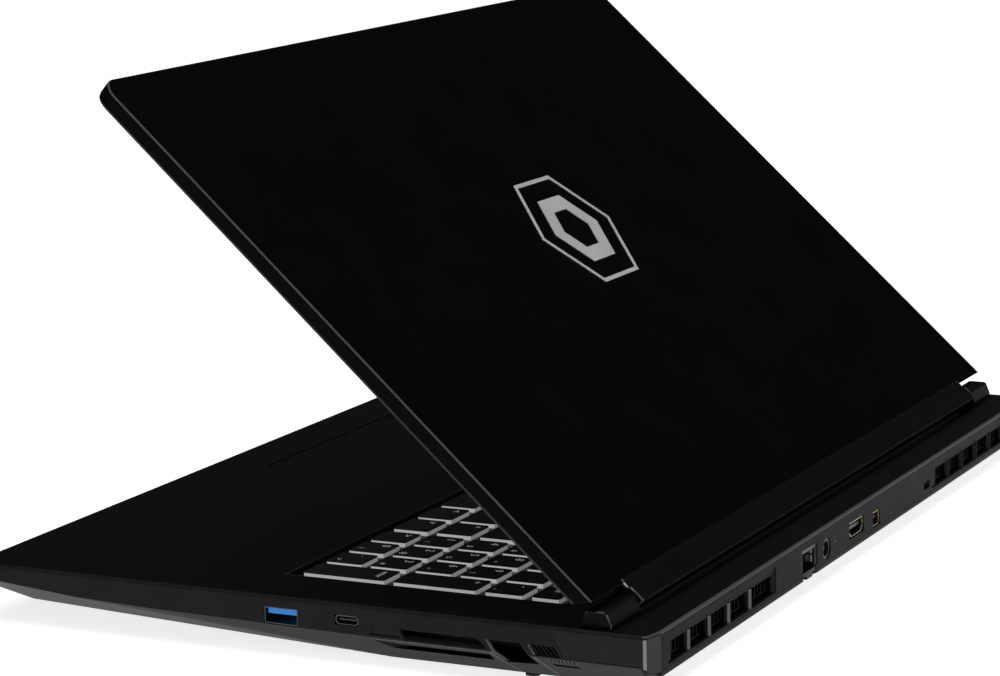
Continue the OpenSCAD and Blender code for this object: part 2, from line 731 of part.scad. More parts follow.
// The wide socket is HDMI and the small one is a mini display socket
module video_shells() {
    color([0.7, 0.68, 0.6]) {
        on_rear(hdmi_x, hdmi_z) video_shell(7.4, 2.8, 2.3, 12);
        on_rear(mini_x, mini_z) video_shell(3.8, 2.75, 1.3, 9);
    }
}

module video_tongues() {
    color([0.06, 0.06, 0.06]) {
        on_rear(hdmi_x, hdmi_z) block([-5.6, 1, -0.2], [5.6, 11, 1]);
        on_rear(mini_x, mini_z) block([-2.4, 1, -0.2], [2.4, 8, 0.9]);
    }
}

module lan_socket() {
    color([0.08, 0.08, 0.085]) on_rear(lan_x, lan_z) {
        difference() {
            block([-7.4, 0, -3.8], [7.4, 16.4, 4]);
            block([-6.1, -1, -3.9], [6.1, 14.9, 2.9]);
        }
    }
}

lan_jaw_y = rear_y - 8;
lan_jaw_z = lan_z - 5;
module lan_jaw() {
    color([0.08, 0.08, 0.085]) {
        block([lan_x - 5.8, lan_jaw_y - 0.8, lan_jaw_z - 0.8], [lan_x + 5.8, rear_y - 0.2, lan_jaw_z + 0.8]);
        block([lan_x - 2.8, rear_y - 3.4, lan_jaw_z - 2.2], [lan_x + 2.8, rear_y - 0.2, lan_jaw_z - 0.8]);
    }
}

module dc_socket() {
    color([0.06, 0.06, 0.065]) on_rear(dc_x, dc_z) rotate([-90, 0, 0]) {
        difference() {
            cylinder(r = 4, h = 14);
            translate([0, 0, -1]) cylinder(r = 2.85, h = 12);
        }
        translate([0, 0, 1]) cylinder(r = 1.25, h = 11);
    }
}

module audio_sockets() {
    color([0.06, 0.06, 0.065]) for (y = audio_y) on_left(y, usb_z) rotate([-90, 0, 0]) difference() {
        cylinder(r = audio_out_r, h = 15.5);
        translate([0, 0, -1]) cylinder(r = audio_r, h = 15.5);
    }
}

module charge_light() {
    color([0.8, 0.85, 0.9]) translate([light_x, rear_y - 3, light_z]) rotate([-90, 0, 0])
        cylinder(r = 0.7, h = 2.8);
}

// ---------- touchpad, button, feet, screws ----------
module touchpad_frame() {
    w = pad_size.x / 2;
    d = pad_size.y / 2;
    color([0.3, 0.3, 0.31]) translate([pad_c.x, pad_c.y, 0]) {
        block([-w - 4, -d - 4, 16.4], [w + 4, d + 4, 17.2]);
        difference() {
            block([-w - 4, -d - 4, 17.2], [w + 4, d + 4, deck_z - skin - 1.5]);
            block([-w - 0.6, -d - 0.6, 17], [w + 0.6, d + 0.6, 30]);
        }
    }
}

module touchpad() {
    color([0.06, 0.06, 0.065]) translate([pad_c.x, pad_c.y, deck_z - 1.5])
        round_plate(pad_size.x, pad_size.y, 1.3, 2.5);
}

module power_button() {
    color([0.09, 0.09, 0.095]) translate([button_c.x, button_c.y, deck_z - 1.4])
        round_plate(18, 5.8, 1.6, 1.8);
}

module rubber_feet() {
    color([0.04, 0.04, 0.04]) {
        translate([0, rear_y - 22, 0]) round_plate(250, 9, foot_h, 3);
        both_sides() translate([112, -rear_y + 26, 0]) round_plate(48, 8, foot_h, 3);
        both_sides() translate([183, 85.5, 0]) round_plate(8, 5, foot_h, 2);
    }
}

module bottom_screws() {
    color([0.2, 0.2, 0.21]) for (p = screw_at) translate([p.x, p.y, foot_h + 0.15]) {
        cylinder(r = 2.3, h = 0.85);
        cylinder(r = 1, h = 15);
    }
}

// ---------- lid ----------
lid_foot = 5.65;
lid_foot_inner = 10;
lid_half = lid_w / 2;
lid_skin = 1.2;
bezel_t = 0.8;
view_low = 22.5;
view_high = 237.5;
view_half = 191;

// Side outline of the lid at a depth inside its skin, as (y, z)
module lid_section(g) {
    polygon([[-lid_foot - g, lid_top - g], [-lid_reach + g, lid_top - g], [-lid_reach + g, -lid_face],
        [-lid_foot_inner - g, -lid_face]]);
}

module lid_plan(g) {
    r = lid_corner - g;
    x = lid_half - g;
    y1 = -lid_reach + g;
    polygon(concat(arc(-x + r, y1 + r, r, 180, 270, 8), arc(x - r, y1 + r, r, 270, 360, 8),
        [[x, 0], [-x, 0]]));
}

module lid_cover() {
    edge = 0.5;
    color([0.03, 0.03, 0.033]) lid_place() difference() {
        intersection() {
            along_x(-lid_half, lid_half) lid_section(0);
            union() {
                translate([0, 0, -lid_face + bezel_t]) linear_extrude(lid_top + lid_face - bezel_t - edge)
                    lid_plan(0);
                hull() {
                    translate([0, 0, lid_top - edge]) linear_extrude(tiny) lid_plan(0);
                    translate([0, 0, lid_top - tiny]) linear_extrude(tiny) lid_plan(edge);
                }
            }
        }
        intersection() {
            along_x(-lid_half + lid_skin, lid_half - lid_skin) lid_section(lid_skin);
            translate([0, 0, -lid_face - 1]) linear_extrude(20) lid_plan(lid_skin);
        }
        block([-lip_half - 0.3, -14, -lid_face - 1], [lip_half + 0.3, 1, 2.1]);
        block([-lip_half - 0.3, -7.2, -4], [lip_half + 0.3, 1, 10]);
    }
}

module lid_bezel() {
    color([0.05, 0.05, 0.05]) lid_place() difference() {
        intersection() {
            translate([0, 0, -lid_face]) linear_extrude(bezel_t) lid_plan(0.2);
            along_x(-lid_half, lid_half) lid_section(0);
        }
        block([-view_half, -view_high, -10], [view_half, -view_low, 10]);
        translate([0, -lid_reach + 5, -10]) cylinder(r = 1.6, h = 20);
        block([-lip_half - 0.3, -14, -10], [lip_half + 0.3, 1, 10]);
    }
}

module display_panel() {
    panel_low = 16;
    panel_high = 240.6;
    color([0.02, 0.02, 0.025]) lid_place()
        block([-194, -panel_high, -lid_face + bezel_t], [194, -panel_low, -lid_face + bezel_t + 2.8]);
}

module camera_module() {
    y = -lid_reach + 5;
    color([0.1, 0.1, 0.12]) lid_place() {
        block([-14, y - 1.9, -lid_face + bezel_t], [14, y + 1.9, 1.4]);
        translate([0, y, -lid_face + 0.3]) cylinder(r = 1.4, h = 0.6);
    }
}

module bezel_pads() {
    color([0.03, 0.03, 0.03]) lid_place() {
        pad_t = 0.4;
        for (x = [-150, -60, 60, 150])
            translate([x, -lid_reach + 3.4, -lid_face - pad_t]) cylinder(r = 1.6, h = pad_t);
        for (x = [-193.6, 193.6], y = [-180, -60])
            block([x - 1, y - 4, -lid_face - pad_t], [x + 1, y + 4, -lid_face]);
    }
}

// Flat bar of a hinge arm, inside the lid
arm_x = [150, 166];
module hinge_lip() {
    r_in = 2.3;
    back = 3.2;
    crown = lid_top + 0.65;
    color([0.045, 0.045, 0.05]) lid_place() difference() {
        along_x(-lip_half, lip_half)
            polygon([[-3, crown], [2.8, crown], [back, lid_top - 0.4], [back, -0.9], [2.4, -lid_face],
                [-13.6, -lid_face], [-13.6, -lid_face + 1.1], [-4.4, -lid_face + 1.1],
                [-4.4, lid_top - 1.2], [-7, lid_top - 1.2], [-7, lid_top], [-3, lid_top]]);
        translate([-lip_half - 1, 0, 0]) rotate([0, 90, 0]) cylinder(r = r_in, h = 2 * lip_half + 2);
        both_sides() block([arm_x[0] - 0.3, -8, 0], [arm_x[1] + 0.3, 0, lid_top - 1.1]);
        block([-128, -8, 0], [-118, 0, lid_top - 1.1]);
    }
}

module hinge_arms() {
    color([0.58, 0.59, 0.61]) lid_place() both_sides() difference() {
        union() {
            translate([arm_x[0], 0, 0]) rotate([0, 90, 0]) cylinder(r = 2, h = arm_x[1] - arm_x[0]);
            translate([arm_x[0], 0, 0]) rotate([0, 90, 0]) cylinder(r = shaft_r, h = 188 - arm_x[0]);
            block([arm_x[0], -14.8, 0.6], [arm_x[1], 0, 1.6]);
            block([arm_x[0], -15.4, 0.6], [arm_x[1], -14.4, 2.9]);
            block([arm_x[0], -76, 2.1], [arm_x[1], -14.8, 2.9]);
        }
        for (y = [-30, -50, -68]) translate([(arm_x[0] + arm_x[1]) / 2, y, 0]) cylinder(r = 1.3, h = 5);
    }
}

module lid_emblem() {
    ring_r = 29.8;
    line = 1.9;
    up = 135.3;
    color([0.72, 0.72, 0.73]) lid_place() translate([0, -up, lid_top]) linear_extrude(0.25) {
        difference() {
            circle(ring_r, $fn = 6);
            circle(ring_r - line, $fn = 6);
        }
        difference() {
            circle(ring_r * 0.62, $fn = 6);
            circle(ring_r * 0.36, $fn = 6);
        }
    }
}

module antennas() {
    color([0.15, 0.15, 0.16]) lid_place() both_sides()
        block([70, -lid_reach + 1.5, 2], [112, -lid_reach + 6.4, 2.8]);
}

module display_cable() {
    color([0.08, 0.08, 0.09]) lid_place() {
        block([-127, -60, 2.2], [-119, -13.8, 2.8]);
        block([-127, -14.6, 0.7], [-119, -13.8, 2.2]);
        block([-127, -13.8, 0.7], [-119, -1, 1.3]);
        translate([-127, 0, 0]) rotate([0, 90, 0]) cylinder(r = 1.9, h = 8);
    }
}

bottom_cover();
rear_panel();
top_cover();
hinge_covers();
hinge_brackets();
key_frame();
keyboard_plate();
mainboard();
processors();
memory_modules();
ssd_module();
wifi_card();
cold_plate();
heat_pipes();
fin_stacks();
fan_housing();  // fan_housing_right
mirror([1, 0, 0]) fan_housing();  // fan_housing_left
fan_rotor();  // fan_rotor_right
mirror([1, 0, 0]) fan_rotor();  // fan_rotor_left
battery_pack();
speakers();
intake_mesh();
usb_a_shells();
usb_a_tongues();
usb_c_shell();
usb_c_tongue();
video_shells();
video_tongues();
lan_socket();
lan_jaw();
dc_socket();
audio_sockets();
charge_light();
touchpad_frame();
touchpad();
power_button();
rubber_feet();
bottom_screws();
keys(function_caps());  // function_keys
keys(number_caps());  // number_keys
keys(upper_caps());  // upper_keys
keys(home_caps());  // home_keys
keys(lower_caps());  // lower_keys
keys(bottom_caps());  // bottom_keys
keys(space_caps());  // space_bar
keys(enter_caps());  // enter_key
keys(arrow_caps());  // arrow_keys
keys(keypad_caps());  // keypad_keys
keys(keypad_enter_caps());  // keypad_enter
lid_cover();
lid_bezel();
display_panel();
hinge_lip();
hinge_arms();
camera_module();
bezel_pads();
lid_emblem();
antennas();
display_cable();
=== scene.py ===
"""Looks of the gaming laptop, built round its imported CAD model. Metres, in the model's own frame."""

import json
import math

import bmesh
import bpy
from mathutils import Matrix, Vector


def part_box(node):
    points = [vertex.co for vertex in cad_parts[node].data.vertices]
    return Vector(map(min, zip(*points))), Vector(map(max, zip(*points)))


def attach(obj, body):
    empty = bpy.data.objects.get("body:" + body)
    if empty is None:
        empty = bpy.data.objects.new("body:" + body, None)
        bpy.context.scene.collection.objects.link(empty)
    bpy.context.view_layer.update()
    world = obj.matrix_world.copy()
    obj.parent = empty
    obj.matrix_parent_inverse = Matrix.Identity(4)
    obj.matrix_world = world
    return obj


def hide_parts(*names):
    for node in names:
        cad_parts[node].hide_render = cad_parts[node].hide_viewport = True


MM = 0.001
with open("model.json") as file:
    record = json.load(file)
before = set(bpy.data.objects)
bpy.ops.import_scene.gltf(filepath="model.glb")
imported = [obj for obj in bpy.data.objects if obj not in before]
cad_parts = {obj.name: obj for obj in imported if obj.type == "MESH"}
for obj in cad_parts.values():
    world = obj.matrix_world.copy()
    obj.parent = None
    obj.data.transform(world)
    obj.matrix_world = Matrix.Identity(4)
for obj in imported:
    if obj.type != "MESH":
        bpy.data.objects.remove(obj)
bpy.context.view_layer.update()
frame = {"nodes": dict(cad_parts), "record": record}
nodes = frame["nodes"]


# ---------------------------------------------------------------- camera and studio
CAMERA_AT = (1.113577, 0.542731, 0.310728)
CAMERA_RIGHT = (-0.4445002, 0.8954464, -0.0243966)
CAMERA_UP = (-0.1785098, -0.0618578, 0.9819918)
CAMERA_BACK = (0.8778119, 0.4408506, 0.1873417)
LENS_MM = 117.22
SENSOR_MM = 36
CLIP_NEAR, CLIP_FAR = 0.05, 60

WORLD_SEEN = 0.95  # the backdrop that the camera sees
WORLD_FELT = 0.03  # the fill that falls on the object


def make_camera():
    cam = bpy.data.objects.new("camera", bpy.data.cameras.new("camera"))
    bpy.context.scene.collection.objects.link(cam)
    turn = Matrix((CAMERA_RIGHT, CAMERA_UP, CAMERA_BACK)).transposed()
    cam.matrix_world = Matrix.Translation(CAMERA_AT) @ turn.to_4x4()
    cam.data.sensor_width = SENSOR_MM
    cam.data.lens = LENS_MM
    cam.data.clip_start, cam.data.clip_end = CLIP_NEAR, CLIP_FAR
    bpy.context.scene.camera = cam


def soft_light(name, at, towards, width, height, watts):
    light = bpy.data.lights.new(name, "AREA")
    light.shape, light.size, light.size_y = "RECTANGLE", width, height
    light.energy = watts
    lamp = bpy.data.objects.new(name, light)
    lamp.location = at
    lamp.rotation_mode = "QUATERNION"
    lamp.rotation_quaternion = (Vector(towards) - Vector(at)).to_track_quat("-Z", "Y")
    bpy.context.scene.collection.objects.link(lamp)


def make_world():
    """Pale behind everything, and a dim even fill on the object."""
    world = bpy.data.worlds.new("studio")
    bpy.context.scene.world = world
    world.use_nodes = True
    tree = world.node_tree
    out = tree.nodes["World Output"]
    fill, back = tree.nodes["Background"], tree.nodes.new("ShaderNodeBackground")
    fill.inputs["Color"].default_value = (WORLD_FELT, WORLD_FELT, WORLD_FELT * 1.03, 1)
    back.inputs["Color"].default_value = (WORLD_SEEN, WORLD_SEEN, WORLD_SEEN, 1)
    path, mix = tree.nodes.new("ShaderNodeLightPath"), tree.nodes.new("ShaderNodeMixShader")
    tree.links.new(path.outputs["Is Camera Ray"], mix.inputs[0])
    tree.links.new(fill.outputs[0], mix.inputs[1])
    tree.links.new(back.outputs[0], mix.inputs[2])
    tree.links.new(mix.outputs[0], out.inputs["Surface"])


# ---------------------------------------------------------------- materials
NOISE_ROUGH = 0.55
BEVEL_SAMPLES = 4
EDGE_COSINES = (0.995, 0.85)  # rounded against true normal: where an edge begins, and where it is full
SOFT_SPAN = (0.3, 0.7)  # the part of the noise that runs from one tone to the other
ROUGH_SOFT, ROUGH_FINE = 0.04, 0.05  # how far the soft blotches and the grain move the roughness
FLECK_SPAN = (0.66, 0.72)  # the part of the noise where flecks begin
EDGE_BREAKUP_SCALE = 900.0  # of the noise that breaks up the worn edges and their painted highlights
PLASTIC_IOR = 1.5


class Tree:
    """A material's node tree with short calls for the nodes used here."""

    def __init__(self, name):
        self.mat = bpy.data.materials.new(name)
        self.mat.use_nodes = True
        self.tree = self.mat.node_tree
        self.bsdf = self.tree.nodes["Principled BSDF"]
        self.coords = self.node("TexCoord").outputs["Object"]

    def node(self, kind, **values):
        made = self.tree.nodes.new("ShaderNode" + kind)
        for key, value in values.items():
            setattr(made, key, value)
        return made

    def plug(self, socket, value):
        if isinstance(value, bpy.types.NodeSocket):
            self.tree.links.new(value, socket)
        else:
            socket.default_value = value

    def math(self, op, a, b=0.0, clamp=False):
        made = self.node("Math", operation=op, use_clamp=clamp)
        self.plug(made.inputs[0], a)
        self.plug(made.inputs[1], b)
        return made.outputs[0]

    def span(self, value, low, high, to_low=0.0, to_high=1.0):
        made = self.node("MapRange")
        for i, v in enumerate((value, low, high, to_low, to_high)):
            self.plug(made.inputs[i], v)
        return made.outputs[0]

    def noise(self, scale, detail=3.0, stretch=None):
        made = self.node("TexNoise")
        source = self.coords
        if stretch:
            mapping = self.node("Mapping")
            self.plug(mapping.inputs["Vector"], source)
            mapping.inputs["Scale"].default_value = stretch
            source = mapping.outputs[0]
        self.plug(made.inputs["Vector"], source)
        made.inputs["Scale"].default_value = scale
        made.inputs["Detail"].default_value = detail
        made.inputs["Roughness"].default_value = NOISE_ROUGH
        return made.outputs["Fac"]

    def mix(self, factor, a, b):
        made = self.node("Mix", data_type="RGBA")
        self.plug(made.inputs[0], factor)
        for socket, value in ((made.inputs[6], a), (made.inputs[7], b)):
            self.plug(socket, value if isinstance(value, bpy.types.NodeSocket) else (*value[:3], 1))
        return made.outputs[2]

    def edges(self, radius):
        """(rounded normal, 0..1 on edges) from the Bevel node."""
        bevel = self.node("Bevel", samples=BEVEL_SAMPLES)
        bevel.inputs["Radius"].default_value = radius
        geometry = self.node("NewGeometry")
        dot = self.node("VectorMath", operation="DOT_PRODUCT")
        self.plug(dot.inputs[0], bevel.outputs[0])
        self.plug(dot.inputs[1], geometry.outputs["True Normal"])
        return bevel.outputs[0], self.span(dot.outputs["Value"], *EDGE_COSINES)


def scaled(colour, k):
    return tuple(c * k for c in colour)


def finish_of(name, colour, rough, metal=0.0, spec=0.5, tone=0.18, blotch=45.0, grain=2600.0, bump=0.12,
              depth=2e-5, edge_r=2.5e-4, edge=None, edge_amount=0.5, brushed=None, coat=0.0, bands=(),
              zones=(), specks=None, emit=0.0):
    """Procedural finish: two tones in soft blotches, grain in bump and roughness, worn and machined edges
    that also carry painted highlights.

    A band (low, high, colour, direction) recolours the faces whose normal lies between two cosines of a
    direction: lighter bare-metal chamfers brightened further as painted highlights, and painted light and
    painted shade on faces turned towards and away from the lamps. A zone (low corner, high corner, colour)
    recolours a box given in millimetres of |x|, y and z: painted highlight, painted reflection and painted
    shade.
    """
    t = Tree(name)
    b = t.bsdf
    soft = t.noise(blotch, 4.0)
    fine = t.noise(grain, 3.0, stretch=brushed)
    base = t.mix(t.span(soft, *SOFT_SPAN), scaled(colour, 1 - tone), scaled(colour, 1 + tone))
    if specks:
        speck_colour, speck_scale = specks
        fleck = t.span(t.noise(speck_scale, 1.0), *FLECK_SPAN)
        base = t.mix(fleck, base, speck_colour)
    rounded, rim = t.edges(edge_r)
    for low, high, band_colour, direction in bands:
        along = t.node("VectorMath", operation="DOT_PRODUCT")
        t.plug(along.inputs[0], t.node("TexCoord").outputs["Normal"])
        along.inputs[1].default_value = direction
        cosine = along.outputs["Value"]
        inside = t.math("MULTIPLY", t.math("GREATER_THAN", cosine, low), t.math("LESS_THAN", cosine, high))
        shade = t.mix(t.span(soft, *SOFT_SPAN), scaled(band_colour, 0.9), scaled(band_colour, 1.1))
        base = t.mix(inside, base, shade)
    if zones:
        place = t.node("SeparateXYZ")
        t.plug(place.inputs[0], t.coords)
        axes = (t.math("ABSOLUTE", place.outputs[0]), place.outputs[1], place.outputs[2])
    for low, high, zone_colour in zones:
        inside = 1.0
        for axis, a, b_ in zip(axes, low, high):
            inside = t.math("MULTIPLY", inside, t.math("GREATER_THAN", axis, a * MM))
            inside = t.math("MULTIPLY", inside, t.math("LESS_THAN", axis, b_ * MM))
        base = t.mix(inside, base, zone_colour)
    if edge is not None:
        # edge colour: wear, and on the metal chamfers also a painted highlight, broken up by noise
        edge_breakup = t.span(t.noise(EDGE_BREAKUP_SCALE, 4.0), 0.3, 0.62, 0.35, 1.0)
        worn_and_highlit_edge = t.math("MULTIPLY", rim, edge_breakup, clamp=True)
        base = t.mix(t.math("MULTIPLY", worn_and_highlit_edge, edge_amount), base, edge)
    t.plug(b.inputs["Base Color"], base)
    t.plug(b.inputs["Roughness"], t.math("ADD", t.span(fine, *SOFT_SPAN, -ROUGH_FINE, ROUGH_FINE),
                                         t.span(soft, *SOFT_SPAN, rough - ROUGH_SOFT, rough + ROUGH_SOFT),
                                         clamp=True))
    made = t.node("Bump")
    made.inputs["Strength"].default_value = bump
    made.inputs["Distance"].default_value = depth
    t.plug(made.inputs["Height"], fine)
    t.plug(made.inputs["Normal"], rounded)
    t.plug(b.inputs["Normal"], made.outputs[0])
    b.inputs["Metallic"].default_value = metal
    b.inputs["Specular IOR Level"].default_value = spec
    b.inputs["IOR"].default_value = PLASTIC_IOR
    b.inputs["Coat Weight"].default_value = coat
    if emit:
        t.plug(b.inputs["Emission Color"], base)
        b.inputs["Emission Strength"].default_value = emit
    return t.mat


LID_ANGLE = math.radians(42.4)

# Directions that the bands of the finishes are measured from
LID_UP = (0, math.sin(LID_ANGLE), math.cos(LID_ANGLE))
LIP_LOWER = (0, 0.93, -0.36)
RIGHT, LEFT, REAR, DOWN = (1, 0, 0), (-1, 0, 0), (0, 1, 0), (0, 0, -1)
CORNER = (0.7071, 0.7071, 0)
CORNER_STRIP = (0.8575, 0.5145, 0)
SIDE_RIM, REAR_RIM = (0.7071, 0, 0.7071), (0, 0.7071, 0.7071)

